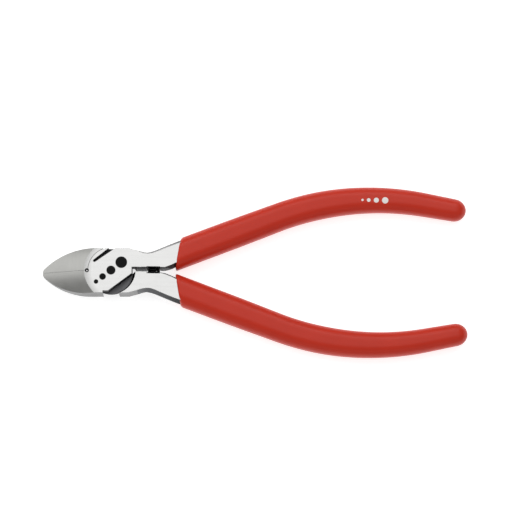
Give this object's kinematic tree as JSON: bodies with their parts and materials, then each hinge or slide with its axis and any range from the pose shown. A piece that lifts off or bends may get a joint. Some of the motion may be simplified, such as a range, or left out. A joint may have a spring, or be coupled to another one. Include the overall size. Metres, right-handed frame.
{
  "type": "flush cutter",
  "caption": "Lap-jointed diagonal flush cutter: pointed jaws with one flat-ground face, riveted crossing, a coil spring between the handles and bowed handles in dipped sleeves.",
  "frame": {"origin": "On the pivot axis, at the flat back face of the head, which is the side the ground bevels are on.", "axes": "+X from the pivot towards the handle ends, the jaws point to -X; +Z along the pivot axis, out of the flush-ground side; +Y towards the handle of the half with the front lap."},
  "size_m": [0.1599, 0.0652, 0.0096],
  "materials": {
    "polished_steel": "forged, ground and polished",
    "rivet_steel": "ground flush and polished",
    "spring_steel": "black oxide",
    "dipped_vinyl": "soft gloss"
  },
  "bodies": {
    "back_side": {"back_half": "polished_steel", "lower_sleeve": "dipped_vinyl", "opening_spring": "spring_steel"},
    "front_side": {"front_half": "polished_steel", "pivot_rivet": "rivet_steel", "upper_sleeve": "dipped_vinyl"}
  },
  "joints": [
    {"name": "jaw_pivot", "type": "hinge", "parent": "back_side", "child": "front_side", "pos_m": [0, 0, 0.0048], "axis": [0, 0, 1], "range_deg": [0, 35], "stiffness_Nm_per_rad": 0.1, "springref_deg": 51.57, "deforming": ["opening_spring"]}
  ]
}
